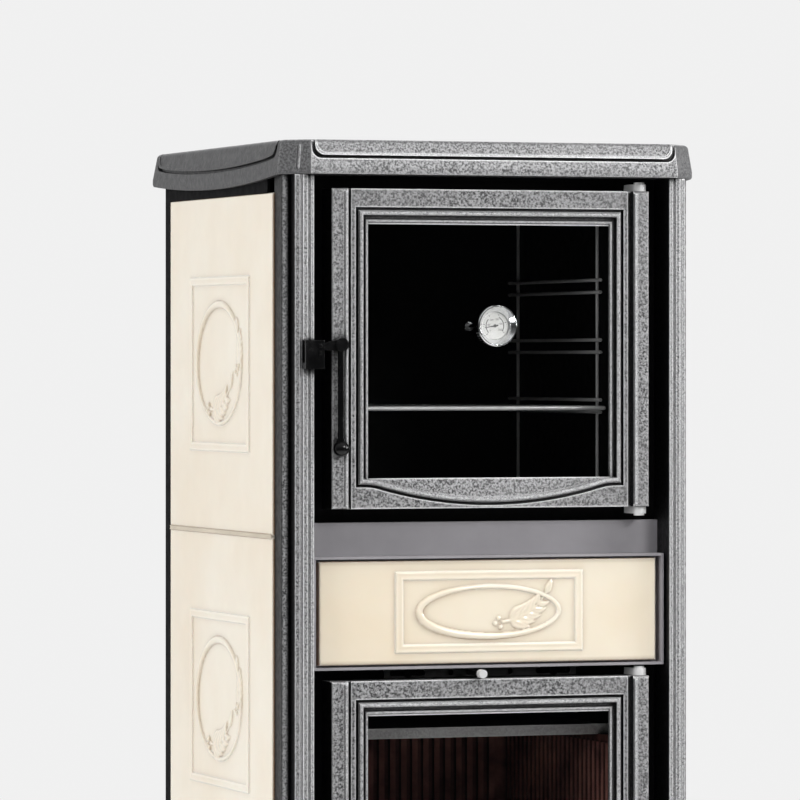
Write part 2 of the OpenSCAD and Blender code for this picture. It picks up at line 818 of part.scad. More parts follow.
// Wire shelf: a frame, two cross wires and bars from front to back
module oven_shelf() {
    x = x_shelf;
    bar_r = 1.5;
    color(steel) {
        for (y = [shelf_y0, shelf_y1]) rod_x(y, z_shelf, shelf_wire, -x, x);
        for (s = [-1, 1]) rod_y(s * x, z_shelf, shelf_wire, shelf_y0, shelf_y1, 24);
        for (y = [shelf_y0 + 110, shelf_y0 + 220]) rod_x(y, z_shelf - 1.5, 1.8, -x, x);
        for (i = [1:shelf_bars])
            rod_y(-x + i * 2 * x / (shelf_bars + 1), z_shelf + 1, bar_r, shelf_y0, shelf_y1, 24);
    }
}

// ---- Firebox ----

module firebox_floor() {
    color(iron) difference() {
        box(-x_case + sheet_t + fit, x_case - sheet_t - fit, y_case + fit, y_back - fit, z_bed, z_hearth);
        box(-grate_x, grate_x, grate_y0, grate_y0 + grate_l, z_bed + bed_t / 2, z_hearth + 1);
        box(-grate_x + grate_ledge, grate_x - grate_ledge, grate_y0 + grate_ledge,
            grate_y0 + grate_l - grate_ledge, z_bed - 1, z_hearth);
    }
}

module fire_grate() {
    slots = 9;
    pitch = (2 * grate_x - 20) / slots;
    z0 = z_bed + bed_t / 2;
    half_l = grate_l / 2 - 8;
    color(iron) difference() {
        box(-grate_x + fit, grate_x - fit, grate_y0 + fit, grate_y0 + grate_l - fit, z0, z0 + 8);
        for (i = [0:slots - 1], half = [0, 1])
            box(-grate_x + 10 + (i + 0.25) * pitch, -grate_x + 10 + (i + 0.75) * pitch,
                grate_y0 + 14 + half * half_l, grate_y0 + 2 + (half + 1) * half_l, z0 - 1, z0 + 9);
    }
}

module side_lining() {
    y1 = y_lining_back - fit;
    rib = 7;
    count = floor((y1 - y_lining) / (2 * rib));
    color(rust) {
        box(x_lining - lining_t, x_lining, y_lining, y1, z_hearth, z_hearth + lining_h);
        for (i = [0:count - 1])
            box(x_lining - lining_t - lining_rib, x_lining - lining_t, y_lining + (2 * i + 0.5) * rib,
                y_lining + (2 * i + 1.5) * rib, z_hearth, z_hearth + lining_h - 8);
    }
}

module firebox_lining_right() { side_lining(); }
module firebox_lining_left() { mirror([1, 0, 0]) side_lining(); }

module firebox_lining_back() {
    rib = 7;
    w = x_lining - lining_t - lining_rib - 2;
    count = floor(w / rib);
    color(rust) {
        box(-x_lining, x_lining, y_lining_back, y_lining_back + lining_t, z_hearth, z_hearth + lining_h);
        for (i = [0:count - 1])
            box(-w + (2 * i + 0.5) * rib, -w + (2 * i + 1.5) * rib, y_lining_back - lining_rib,
                y_lining_back, z_hearth, z_hearth + lining_h - 8);
    }
}

module smoke_baffle() {
    y0 = y_case + baffle_set + 4;
    z0 = z_hearth + lining_h;
    color(steel) {
        box(-x_lining, x_lining, y0, y_lining_back + lining_t, z0, z0 + baffle_t);
        box(-x_lining, x_lining, y0, y0 + lining_rib, z0, z0 + baffle_t + 2);
    }
}

guard_set = 18;
guard_h = 46;
guard_t = 6;
guard_bar = 8;

// Low cast bars that keep logs off the glass
module log_guard() {
    w = x_lining - lining_t - lining_rib - 3;
    y0 = y_case + guard_set;
    posts = 8;
    color(iron) {
        box(-w, w, y0, y0 + guard_t, z_hearth + guard_h - guard_bar, z_hearth + guard_h);
        box(-w, w, y0, y0 + guard_t, z_hearth, z_hearth + guard_bar);
        for (i = [0:posts])
            translate([-w + i * (2 * w - guard_bar) / posts, y0, z_hearth + guard_bar - 1])
                cube([guard_bar, guard_t, guard_h - 2 * guard_bar + 2]);
    }
}

// ---- Ash drawer and air sliders ----

runner_x = 120;

// Sheet under the ash drawer, with two runners and slots for the primary air
module ash_floor() {
    x = x_case - sheet_t - fit;
    z1 = z_ash_floor + ash_floor_t;
    color(black_iron) difference() {
        union() {
            box(-x, x, y_case, y_back, z_ash_floor, z1);
            for (s = [-1, 1])
                translate([s * runner_x - 5, y_case + 4, z1]) cube([10, ash_pan_l, ash_pan_z0 - fit - z1]);
        }
        for (i = [-2:2])
            box(i * 40 - 15, i * 40 + 15, y_case + 20, y_case + 28, z_ash_floor - 1, z1 + 1);
    }
}

module ash_drawer() {
    t = 1.5;
    x = x_door - 45;
    y0 = y_face + 12;
    depth = frame_set - 4;
    color(iron) {
        difference() {
            loft(round_slab(-x_door, x_door, z_ash, z_ash + ash_h, y_face + 2, y_face + depth, 3));
            box(-x_door + 8, x_door - 8, y0, y_face + depth + 1, z_ash + 8, z_ash + ash_h - 8);
        }
        translate([0, y_face + 2, z_ash + ash_h / 2])
            moulding(rect_path(x_door - 15, -ash_h / 2 + 13, ash_h / 2 - 13), bead(2.5, 2, 0));
    }
    color(black_iron) difference() {
        box(-x, x, y0 - 0.5, y0 + ash_pan_l, ash_pan_z0, ash_pan_z0 + ash_pan_h);
        box(-x + t, x - t, y0 - 1, y0 + ash_pan_l - t, ash_pan_z0 + t, ash_pan_z0 + ash_pan_h + 1);
    }
}

module ash_drawer_knob() {
    color(black_iron) translate([0, y_face + 2, z_ash + ash_h / 2]) rotate([90, 0, 0])
        rotate_extrude($fn = 64)
            polygon([[0, 0], [8, 0], [6, 3], [6, 7], [10, 10], [11, 14], [9, 18], [0, 19]]);
}

// Flat slider with air holes, two slots for its screws and a knob
module air_slider(z) {
    half = air_screw_x + air_travel + 10;
    y0 = y_frame - fit - 2.5;
    y1 = y_frame - fit;
    slot_r = 3.3;
    color(steel) {
        difference() {
            box(-half, half, y0, y1, z - 5.5, z + 5.5);
            for (i = [-2:2]) rod_y(i * air_pitch, z, air_hole_r, y0 - 1, y1 + 1, 32);
            for (s = [-1, 1]) {
                box(s * air_screw_x - air_travel, s * air_screw_x + air_travel, y0 - 1, y1 + 1,
                    z - slot_r, z + slot_r);
                for (e = [-1, 1])
                    rod_y(s * air_screw_x + e * air_travel, z, slot_r, y0 - 1, y1 + 1, 32);
            }
        }
        rod_y(knob_x, z, 2.5, y_face + 5, y0 + 0.5, 32);
        rod_y(knob_x, z, 4.8, y_face - 6, y_face + 6, 48);
    }
}

module secondary_air_slider() { air_slider(z_air_up); }
module primary_air_slider() { air_slider(z_air_lo); }

// ---- Doors ----

edge_bead = 17;
edge_bead_r = 2.1;
boss_r = edge_bead - edge_bead_r - rim_w / 2 - fit;
stile_w = 19.5;
edge_groove = 22;
mid_groove = 31.5;
in_bead = 36.3;
in_bead_r = 2.6;
top_shift = 9;
panel_y = field_y + 5;
ledge_t = 2.6;
lens_bead = 2.5;
groove_half = 1.9;
groove_deep = 4;
crescent_lean = 3;
bow_x = x_door - 41;
bow_end_r = 60;

// Path of a door's moulding at a distance d in from the casting's side edge; the lower
// run bows down below the glass
function door_path(h, d) =
    bow_path(x_door - d, sill_h + d - in_bead - 3.5, h - d + top_shift, bow_x, bow_drop, bow_end_r);

// Section of a groove sunk in a door's panel
groove_section = [[groove_half, panel_y - 1], [-groove_half, panel_y - 1],
    [-0.6 * groove_half, panel_y + groove_deep], [0.6 * groove_half, panel_y + groove_deep]];

// What leans the crescent below the glass back towards its upper edge
module crescent_cut(h) {
    z0 = sill_h - 3.5 - bow_drop + in_bead_r;
    intersection() {
        translate([0, panel_y + 5, 0]) rotate([90, 0, 0]) linear_extrude(6)
            polygon(door_path(h, in_bead + in_bead_r));
        translate([-x_door, 0, 0]) rotate([90, 0, 90]) linear_extrude(2 * x_door)
            polygon([[panel_y - 1, z0], [panel_y, z0], [panel_y + crescent_lean, sill_h + 1],
                [panel_y - 1, sill_h + 1]]);
    }
}

// Door casting at height z0: a stile with a bead at each side, and between them a panel
// set back, with a bead round the glass that bows down below it and a smaller one on the
// ledge in front of the glass. Behind, a rim with a rope groove, and a rebate for the glass.
module door_casting(z0, h) {
    x = x_door;
    g0 = sill_h;
    g1 = h - head_h;
    rib0 = rebate_w + 1;
    ledge_y = back_y - ledge_t;
    x_pocket = x - in_bead - in_bead_r;
    color(iron) translate([0, y_face, z0]) difference() {
        union() {
            difference() {
                loft(round_slab(-x, x, 0, h, field_y, door_d, 3));
                box(-x + rim_w, x - rim_w, back_y, door_d + 1, rim_w, h - rim_w);
                box(-x + stile_w, x - stile_w, field_y - 1, panel_y, -1, h + 1);
                box(-x_pocket, x_pocket, panel_y - 1, ledge_y, g0, h - in_bead + top_shift - in_bead_r);
                crescent_cut(h);
            }
            difference() {
                box(-x_view - rib0 - rib_w, x_view + rib0 + rib_w, back_y - 1, back_y + glass_t + glass_gap,
                    max(g0 - rib0 - rib_w, rim_w - 1), g1 + rib0 + rib_w);
                box(-x_view - rib0, x_view + rib0, back_y - 2, back_y + 10, g0 - rib0, g1 + rib0);
            }
            for (s = [-1, 1])
                translate([s * (x - edge_bead), field_y, 3]) linear_extrude(h - 6)
                    polygon([for (p = bead(edge_bead_r, 2.5, 0)) p]);
            moulding(door_path(h, in_bead), bead(in_bead_r, 2.6, panel_y));
            moulding(rect_path(x_view + lens_bead, g0 - 5, g1 + lens_bead + 1.5), bead(2.2, 2.5, ledge_y));
        }
        // Grooves beside the stiles and round the moulding
        for (s = [-1, 1])
            translate([s * (x - edge_groove) - 2.2, panel_y - 1, -1]) cube([4.4, groove_deep, h + 2]);
        moulding(door_path(h, mid_groove), groove_section);
        // Glass opening
        box(-x_view, x_view, panel_y - 1, back_y + 1, g0, g1);
        // Rope groove in the rim
        difference() {
            box(-x + gasket_x - groove_w / 2, x - gasket_x + groove_w / 2, door_d - groove_d, door_d + 1,
                gasket_x - groove_w / 2, h - gasket_x + groove_w / 2);
            box(-x + gasket_x + groove_w / 2, x - gasket_x - groove_w / 2, door_d - groove_d - 1, door_d + 2,
                gasket_x + groove_w / 2, h - gasket_x - groove_w / 2);
        }
        for (z = [-1, h - pin_in - 1])
            translate([pin_x, pin_y, z]) cylinder(r = pin_r + bore_gap, h = pin_in + 2, $fn = 48);
        rod_y(-handle_x, handle_up, shaft_r + bore_gap, -1, shaft_depth + 0.5);
    }
}

module door_glass(z0, h, hole_r) {
    x = x_view + rebate_w;
    color(pane) difference() {
        box(-x, x, y_face + back_y, y_face + back_y + glass_t, z0 + sill_h - rebate_w,
            z0 + h - head_h + rebate_w);
        if (hole_r > 0)
            rod_y(therm_x, z_oven + therm_up, hole_r, y_face + back_y - 1, y_face + back_y + glass_t + 1);
    }
}

// Rope seal in the rim's groove, lying just short of the frame
module door_gasket(z0, h) {
    y = y_frame - fit - gasket_r;
    color(rope) translate([0, 0, z0])
        moulding(rect_path(x_door - gasket_x, gasket_x, h - gasket_x),
            [for (t = [22.5:45:360]) [gasket_r * cos(t), y - gasket_r * sin(t)]]);
}

// Bars that clamp the glass, with their screws
module glass_clips(z0, h) {
    y0 = y_face + back_y + glass_t + glass_gap;
    rib0 = rebate_w + 1;
    color(steel) for (z = [z0 + sill_h - rib0 - rib_w + 1.5, z0 + h - head_h + rebate_w - 6]) {
        box(-clip_x, clip_x, y0, y0 + clip_t, z, z + clip_h);
        for (x = [-clip_screw_x, clip_screw_x])
            rod_y(x, z + clip_h / 2, clip_screw_r, y0 + clip_t, y0 + clip_t + 1, 32);
    }
}

// Handle: a shaft in the door, a boss, a lever that hangs down and an arm that
// reaches to the keeper
module door_handle(z0) {
    y = y_face;
    z = z0 + handle_up;
    x = -handle_x;
    color(black_iron) {
        rod_y(x, z, shaft_r, y - 1, y + shaft_depth);
        rod_y(x, z, boss_r, y + handle_y - 5, y + field_y - 0.5);
        translate([x, y + handle_y, z - lever_l]) cylinder(r = 4, h = lever_l, $fn = 32);
        translate([x, y + handle_y + 3, z]) rotate([90, 0, 0]) linear_extrude(6)
            polygon([[2, boss_r - 0.5], [-2, 0.5 - boss_r], [-arm_reach, -6], [-arm_reach, 2]]);
    }
}

module handle_ball(z0) {
    color(black_iron) translate([-handle_x, y_face + handle_y, z0 + handle_up - lever_l]) difference() {
        union() {
            sphere(ball_r, $fn = 64);
            cylinder(r = 5.5, h = ball_r + 2, $fn = 48);
        }
        cylinder(r = 4 + press_gap, h = ball_r + 3, $fn = 32);
    }
}

// Hooks on the left column: a pad on its face, a block beside it, and a lip that
// stands in front, open at the top
module latch_keepers() {
    x1 = -handle_x - arm_reach - keeper_gap;
    x0 = x1 - keeper_w;
    lip_y = y_face + handle_y - 7.6;
    pad_y = y_column - keeper_pad;
    color(black_iron) for (z0 = [z_oven, z_fire]) {
        z = z0 + handle_up - keeper_h + 5;
        box(x0, x1, pad_y, y_column, z, z + keeper_h);
        box(-x_column, x1, pad_y, y_column + keeper_grip, z, z + keeper_h);
        box(x0, x1, lip_y, pad_y + 1, z, z + keeper_floor);
        box(x0, x1, lip_y, lip_y + keeper_lip, z, z + keeper_h);
        for (dz = [0.55, 0.8])
            rod_y(x1 - 5, z + dz * keeper_h, keeper_screw_r, lip_y - 1.2, lip_y + 1, 32);
    }
}

module oven_door_casting() { door_casting(z_oven, oven_door_h); }
module fire_door_casting() { door_casting(z_fire, fire_door_h); }
module oven_door_glass() { door_glass(z_oven, oven_door_h, neck_r + 0.3); }
module fire_door_glass() { door_glass(z_fire, fire_door_h, 0); }
module oven_door_gasket() { door_gasket(z_oven, oven_door_h); }
module fire_door_gasket() { door_gasket(z_fire, fire_door_h); }
module oven_glass_clips() { glass_clips(z_oven, oven_door_h); }
module fire_glass_clips() { glass_clips(z_fire, fire_door_h); }
module oven_handle() { door_handle(z_oven); }
module fire_handle() { door_handle(z_fire); }
module oven_handle_ball() { handle_ball(z_oven); }
module fire_handle_ball() { handle_ball(z_fire); }

// ---- Thermometer, measured from the face of the glass towards the front ----

therm_x = 6.2;
neck_r = 5;
case_h = 14;
dial_r = therm_r - 8;
dial_h = 5.5;
stem_l = 92;

module at_therm() {
    translate([therm_x, y_face + back_y, z_oven + therm_up]) rotate([90, 0, 0]) children();
}

// Case with a dished bezel, its neck through the glass and the probe behind
module thermometer_case() {
    color("#d8dadc") at_therm() {
        rotate_extrude($fn = 96) polygon([
            [0, 0], [therm_r - 2, 0], [therm_r, 2], [therm_r, case_h - 1], [therm_r - 1, case_h],
            [therm_r - 2, case_h], [dial_r + 0.5, dial_h], [dial_r + 0.5, 3], [0, 3]]);
        translate([0, 0, -glass_t - 5]) cylinder(r = neck_r, h = glass_t + 5.5, $fn = 48);
        translate([0, 0, -stem_l]) cylinder(r = 2.5, h = stem_l, $fn = 32);
        translate([0, 0, -stem_l + 6]) cylinder(r = 5, h = 5, $fn = 48);
    }
}

module thermometer_nut() {
    color(steel) at_therm() translate([0, 0, -glass_t - 3]) difference() {
        cylinder(r = 9, h = 2.6, $fn = 6);
        translate([0, 0, -1]) cylinder(r = neck_r + bore_gap, h = 6, $fn = 48);
    }
}

module thermometer_dial() {
    color(dial_white) at_therm() translate([0, 0, 3]) cylinder(r = dial_r, h = 1, $fn = 96);
}

module thermometer_needle() {
    turn = 190;
    color(black_iron) at_therm() translate([0, 0, 4.3]) rotate([0, 0, turn]) {
        cylinder(r = 1.8, h = 0.9, $fn = 48);
        linear_extrude(0.6) polygon([[-4, -0.9], [-4, 0.9], [dial_r - 3, 0.3], [dial_r - 3, -0.3]]);
    }
}

module thermometer_lens() {
    color(pane) at_therm() translate([0, 0, dial_h]) cylinder(r = dial_r + 0.2, h = 1, $fn = 96);
}

top_plate();
flue_blanking_disc();
front_column_left();
front_column_right();
rear_corner_left();
rear_corner_right();
side_tile_left_lower();
side_tile_left_middle();
side_tile_left_upper();
side_tile_right_lower();
side_tile_right_middle();
side_tile_right_upper();
strip_tile_upper();
strip_tile_lower();
strip_tile_carriers();
front_frame();
band_panel();
casing_side_left();
casing_side_right();
casing_back();
casing_top();
base_frame();
levelling_feet();
rear_heat_shield();
flue_collar();
oven_liner();
oven_side_racks();
oven_shelf();
firebox_floor();
firebox_lining_left();
firebox_lining_right();
firebox_lining_back();
smoke_baffle();
fire_grate();
log_guard();
ash_floor();
ash_drawer();
ash_drawer_knob();
secondary_air_slider();
primary_air_slider();
hinge_brackets();
latch_keepers();
oven_door_casting();
oven_door_glass();
oven_door_gasket();
oven_glass_clips();
oven_handle();
oven_handle_ball();
thermometer_case();
thermometer_nut();
thermometer_dial();
thermometer_needle();
thermometer_lens();
fire_door_casting();
fire_door_glass();
fire_door_gasket();
fire_glass_clips();
fire_handle();
fire_handle_ball();
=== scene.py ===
"""Looks of the tiled range cooker: materials, tile carving, tile joints, rope seals, screws
and dial round the fixed CAD frame. Lengths are in metres; +Z is up and the doors face -Y."""
import json
import math

import bpy
import numpy as np
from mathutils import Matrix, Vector

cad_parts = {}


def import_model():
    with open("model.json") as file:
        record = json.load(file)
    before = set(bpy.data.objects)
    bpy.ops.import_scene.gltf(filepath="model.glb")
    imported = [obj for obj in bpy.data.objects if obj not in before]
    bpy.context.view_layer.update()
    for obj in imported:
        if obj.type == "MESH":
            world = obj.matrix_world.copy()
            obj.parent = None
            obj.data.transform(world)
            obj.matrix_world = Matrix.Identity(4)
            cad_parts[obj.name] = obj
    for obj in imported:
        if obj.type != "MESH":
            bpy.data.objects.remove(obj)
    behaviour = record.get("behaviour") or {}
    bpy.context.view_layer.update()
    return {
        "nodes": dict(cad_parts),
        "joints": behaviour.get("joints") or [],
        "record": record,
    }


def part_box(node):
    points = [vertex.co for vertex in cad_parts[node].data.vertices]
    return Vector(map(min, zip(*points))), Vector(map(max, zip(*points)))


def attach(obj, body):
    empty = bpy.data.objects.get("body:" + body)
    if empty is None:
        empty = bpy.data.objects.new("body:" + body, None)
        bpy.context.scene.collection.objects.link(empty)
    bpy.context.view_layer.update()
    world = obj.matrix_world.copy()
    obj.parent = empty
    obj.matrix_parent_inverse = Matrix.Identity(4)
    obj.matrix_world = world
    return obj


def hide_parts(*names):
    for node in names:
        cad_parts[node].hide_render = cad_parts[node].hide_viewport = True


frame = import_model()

nodes = frame["nodes"]
MM = 0.001
SIDES = ((-1, "left"), (1, "right"))
LEVELS = ("lower", "middle", "upper")


# ---- Where things are, read from the frame ----

def low(node):
    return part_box(node)[0]


def high(node):
    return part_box(node)[1]


def middle(node):
    return (low(node) + high(node)) / 2


def joint_place(name):
    found = next(j for j in frame["joints"] if j["name"] == name)
    return Vector(found["pos_m"])


# ---- Mesh building ----

def put(name, data):
    """A new object in the scene."""
    thing = bpy.data.objects.new(name, data)
    bpy.context.scene.collection.objects.link(thing)
    return thing


def add_piece(name, points, faces, material, body, slot, smooth=True):
    """A mesh piece in the row frame that rides on a body."""
    mesh = bpy.data.meshes.new(name)
    mesh.from_pydata([tuple(p) for p in points], [], [tuple(f) for f in faces])
    mesh.polygons.foreach_set("use_smooth", [smooth] * len(mesh.polygons))
    mesh.update()
    mesh.materials.append(material)
    piece = put(name, mesh)
    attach(piece, body)
    return piece


def spokes(across, other, count):
    """Vectors evenly round the circle that two unit vectors span, each with its angle."""
    angles = [2 * math.pi * k / count for k in range(count)]
    return [(a, across * math.cos(a) + other * math.sin(a)) for a in angles]


def band(first, second, count):
    """Faces between two rings of points, whose first points have these numbers."""
    pairs = [(k, (k + 1) % count) for k in range(count)]
    return [(first + k, first + n, second + n, second + k) for k, n in pairs]


def lathe(profile, origin, axis, turns):
    """Points and faces of a turned piece: profile is (radius, height) pairs along axis."""
    axis = Vector(axis).normalized()
    across = axis.orthogonal().normalized()
    points, faces = [], []
    for radius, height in profile:
        foot = Vector(origin) + axis * height
        points += [foot + spoke * radius for _, spoke in spokes(across, axis.cross(across), turns)]
    for i in range(len(profile) - 1):
        faces += band(i * turns, (i + 1) * turns, turns)
    faces.append(tuple(range((len(profile) - 1) * turns, len(profile) * turns)))
    return points, faces


def merge(shapes):
    """Several (points, faces) joined into one."""
    points, faces = [], []
    for some_points, some_faces in shapes:
        start = len(points)
        points += list(some_points)
        faces += [tuple(i + start for i in f) for f in some_faces]
    return points, faces


# ---- Node trees ----

class Tree:
    """The node tree of a material or world, with short calls for what they need."""

    def __init__(self, owner):
        owner.use_nodes = True
        self.tree = owner.node_tree

    def feed(self, socket, value):
        """Links an output to a socket, or sets the socket to a number, vector or colour."""
        if isinstance(value, bpy.types.NodeSocket):
            self.tree.links.new(value, socket)
        else:
            socket.default_value = (*value, 1) if socket.type == "RGBA" else value

    def new(self, kind, inputs, **settings):
        """The outputs of a new node: inputs are by name or number."""
        node = self.tree.nodes.new(kind)
        for key, value in settings.items():
            setattr(node, key, value)
        for key, value in inputs.items():
            self.feed(node.inputs[key], value)
        return node.outputs

    def ramp(self, value, stops):
        """A colour or grey ramp: stops are (position, colour or grey)."""
        node = self.tree.nodes.new("ShaderNodeValToRGB")
        elements = node.color_ramp.elements
        while len(elements) < len(stops):
            elements.new(0.5)
        for element, (position, color) in zip(elements, stops):
            element.position = position
            element.color = (*color, 1) if isinstance(color, tuple) else (*[color] * 3, 1)
        self.feed(node.inputs["Fac"], value)
        return node.outputs["Color"]

    def math(self, operation, a, b):
        return self.new("ShaderNodeMath", {0: a, 1: b}, operation=operation)["Value"]

    def between(self, value, to_min, to_max, from_min=0.0, from_max=1.0, smooth=False):
        """The value's way from from_min to from_max, told as one from to_min to to_max."""
        inputs = {"Value": value, "From Min": from_min, "From Max": from_max,
                  "To Min": to_min, "To Max": to_max}
        kind = "SMOOTHSTEP" if smooth else "LINEAR"
        return self.new("ShaderNodeMapRange", inputs, interpolation_type=kind)["Result"]


class Surface(Tree):
    """A material round one shader."""

    def __init__(self, name, color, roughness, metallic=0.0):
        self.material = bpy.data.materials.new(name)
        super().__init__(self.material)
        self.shader = self.tree.nodes["Principled BSDF"]
        coordinates = self.new("ShaderNodeTexCoord", {})
        self.place, self.normal = coordinates["Object"], coordinates["Normal"]
        self.set("Base Color", color)
        self.set("Roughness", roughness)
        self.set("Metallic", metallic)

    def set(self, name, value):
        self.feed(self.shader.inputs[name], value)

    def noise(self, scale, detail=3.0, rough=0.55):
        """Grain: scale is how many grains lie in a metre."""
        inputs = {"Vector": self.place, "Scale": scale, "Detail": detail, "Roughness": rough}
        return self.new("ShaderNodeTexNoise", inputs)["Fac"]

    def patches(self, scale, first, second, detail=3.0, stops=(0.3, 0.7)):
        """Cloudy patches between two colours or greys."""
        return self.ramp(self.noise(scale, detail), list(zip(stops, (first, second))))

    def mix(self, factor, a, b):
        inputs = {"Factor": factor, "A": a, "B": b}
        return self.new("ShaderNodeMix", inputs, data_type="RGBA")["Result"]

    def rounded(self, radius):
        """Normals softened over edges of this radius."""
        return self.new("ShaderNodeBevel", {"Radius": radius}, samples=4)["Normal"]

    def edges(self, radius, first, last):
        """1 on sharp edges and 0 on flats, from how far a rounded normal leans."""
        true_normal = self.new("ShaderNodeNewGeometry", {})["Normal"]
        normals = {0: self.rounded(radius), 1: true_normal}
        lean = self.new("ShaderNodeVectorMath", normals, operation="DOT_PRODUCT")["Value"]
        return self.ramp(lean, [(first, 1.0), (last, 0.0)])

    def hollows(self, distance, dark, clear):
        """1 in hollows and corners, 0 on open surfaces."""
        openness = self.new("ShaderNodeAmbientOcclusion", {"Distance": distance}, samples=8)["AO"]
        return self.ramp(openness, [(dark, 1.0), (clear, 0.0)])

    def faces(self, first, last):
        """1 on surfaces that face the front or upwards, 0 on flanks and undersides."""
        parts = self.new("ShaderNodeSeparateXYZ", {0: self.normal})
        front = self.math("MULTIPLY", parts["Y"], -1.0)
        return self.ramp(self.math("MAXIMUM", front, parts["Z"]), [(first, 0.0), (last, 1.0)])

    def bump(self, height, strength, distance, normal=None):
        inputs = {"Strength": strength, "Distance": distance, "Height": height}
        if normal is not None:
            inputs["Normal"] = normal
        self.set("Normal", self.new("ShaderNodeBump", inputs)["Normal"])


# ---- Materials ----

def shade(color, times):
    return tuple(times * c for c in color)


def grey(value):
    return (value, value, value)


# Painted shade: near-black laid into the iron's hollows and onto flanks that face away from the
# light
SHADE_BLACK = (0.003, 0.003, 0.0035)
WHITE = grey(1.0)


def cast_iron(name, dark, light, highlight, flank_shade=None, turn=(0.25, 0.75)):
    """Sand-cast iron: gritty grain, slow cloudy variation, a painted highlight on edges and painted
    shade in hollows. With a flank shade colour, painted shade darkens flanks and undersides, so
    only faces to the front or upwards are bright; turn is where it changes."""
    n = Surface(name, light, 0.5, metallic=0.3)
    sand = n.noise(430, detail=2, rough=0.5)
    speckle = n.ramp(sand, [(0.36, dark), (0.62, light)])
    color = n.mix(n.patches(6, 0.0, 0.4, detail=4, stops=(0.35, 0.7)), speckle, shade(light, 0.7))
    # Painted highlight: the highlight colour laid on sharp edges
    color = n.mix(n.edges(3.6 * MM, 0.84, 0.985), color, highlight)
    # Painted shade: near-black laid into hollows and corners
    color = n.mix(n.hollows(12 * MM, 0.52, 0.93), color, SHADE_BLACK)
    # Painted shade: flanks and undersides take the flank shade colour
    if flank_shade:
        color = n.mix(n.faces(*turn), flank_shade, color)
    n.set("Base Color", color)
    n.set("Roughness", n.patches(140, 0.42, 0.60, stops=(0.3, 0.75)))
    n.bump(sand, 0.6, 1.0 * MM, n.rounded(0.9 * MM))
    return n.material


def tipped(name, color, tip, front, depth):
    """Paint with a bare metal tip, which lies within depth of the node's front."""
    n = Surface(name, color, 0.3)
    parts = n.new("ShaderNodeSeparateXYZ", {0: n.place})
    back = n.math("SUBTRACT", parts["Y"], front)
    bare = n.ramp(n.math("DIVIDE", back, depth), [(0.90, 1.0), (1.0, 0.0)])
    n.set("Base Color", n.mix(bare, n.patches(60, color, shade(color, 2)), tip))
    n.set("Metallic", n.math("MULTIPLY", bare, 0.5))
    n.bump(n.noise(500), 0.1, 0.2 * MM, n.rounded(0.6 * MM))
    return n.material


def glazed_tile(name):
    """Cream glaze, a little uneven, with painted shade darkening its hollows and a painted
    highlight paling its edges.
    """
    n = Surface(name, (0.80, 0.70, 0.55), 0.16)
    color = n.patches(6, (0.74, 0.635, 0.49), (0.79, 0.72, 0.60), stops=(0.30, 0.72))
    # Painted shade: brown darkening in the carving's hollows
    color = n.mix(n.hollows(8 * MM, 0.58, 0.98), color, (0.26, 0.16, 0.09))
    # Painted highlight: pale cream on sharp edges
    color = n.mix(n.edges(2.5 * MM, 0.90, 0.995), color, (0.90, 0.86, 0.77))
    n.set("Base Color", color)
    n.set("Coat Weight", 0.5)
    n.set("Coat Roughness", 0.06)
    n.set("Subsurface Weight", 0.04)
    n.set("Roughness", n.patches(40, 0.16, 0.26))
    n.bump(n.noise(55, detail=2), 0.10, 1.2 * MM, n.rounded(1.2 * MM))
    return n.material


def painted(name, color, roughness, grain=0.4 * MM, spread=0.25, gloss=0.5):
    """Heat-proof paint on sheet or castings, finely textured: grain is how deep."""
    n = Surface(name, color, roughness)
    n.set("Specular IOR Level", gloss)
    n.set("Base Color", n.patches(11, shade(color, 1 - spread), shade(color, 1 + spread), detail=4))
    n.set("Roughness", n.patches(90, roughness - 0.06, roughness + 0.1))
    n.bump(n.noise(900, detail=2), 0.25, grain, n.rounded(0.6 * MM))
    return n.material


def plain_steel(name, color, roughness, metallic=1.0):
    """Bare or plated steel with a faint fine grain."""
    n = Surface(name, color, roughness, metallic=metallic)
    grain = n.noise(840)
    n.set("Roughness", n.ramp(grain, [(0.3, roughness * 0.8), (0.7, roughness * 1.35)]))
    n.set("Base Color", n.mix(n.patches(25, 0.0, 0.5), color, shade(color, 0.8)))
    n.bump(grain, 0.05, 0.2 * MM, n.rounded(0.5 * MM))
    return n.material


def scorched(name, cold, hot):
    """Cast lining that fire has turned patchy red-brown and sooty, with painted shade near-black in
    its hollows.
    """
    n = Surface(name, cold, 0.8)
    burnt = n.noise(16, detail=5, rough=0.6)
    color = n.ramp(burnt, [(0.32, shade(cold, 0.35)), (0.52, cold), (0.74, hot)])
    # Painted shade: near-black laid into hollows and corners
    n.set("Base Color", n.mix(n.hollows(12 * MM, 0.3, 0.8), color, (0.006, 0.004, 0.004)))
    n.bump(n.noise(420), 0.5, 0.9 * MM, n.rounded(1.0 * MM))
    return n.material


def pane(name, tint, alpha):
    """Thin heat-proof glass with a smoky tint and faint smears."""
    n = Surface(name, tint, 0.02)
    n.set("Alpha", alpha)
    n.set("IOR", 1.3)
    n.set("Roughness", n.patches(5, 0.015, 0.07, stops=(0.3, 0.75)))
    return n.material


def woven_rope(name):
    """Glass rope: a tight diagonal braid."""
    n = Surface(name, (0.16, 0.155, 0.15), 0.9)
    inputs = {"Scale": 110, "Distortion": 1.5, "Vector": n.place}
    braid = n.new("ShaderNodeTexWave", inputs, wave_type="BANDS", bands_direction="DIAGONAL")["Fac"]
    n.set("Base Color", n.ramp(braid, [(0.2, (0.06, 0.058, 0.055)), (0.8, (0.24, 0.235, 0.225))]))
    n.set("Sheen Weight", 0.3)
    n.bump(braid, 0.8, 1.2 * MM)
    return n.material


def enamel_white(name):
    n = Surface(name, (0.85, 0.85, 0.83), 0.4)
    n.set("Base Color", n.patches(60, (0.80, 0.80, 0.77), (0.88, 0.88, 0.86)))
    n.bump(n.noise(500), 0.05, 0.1 * MM)
    return n.material


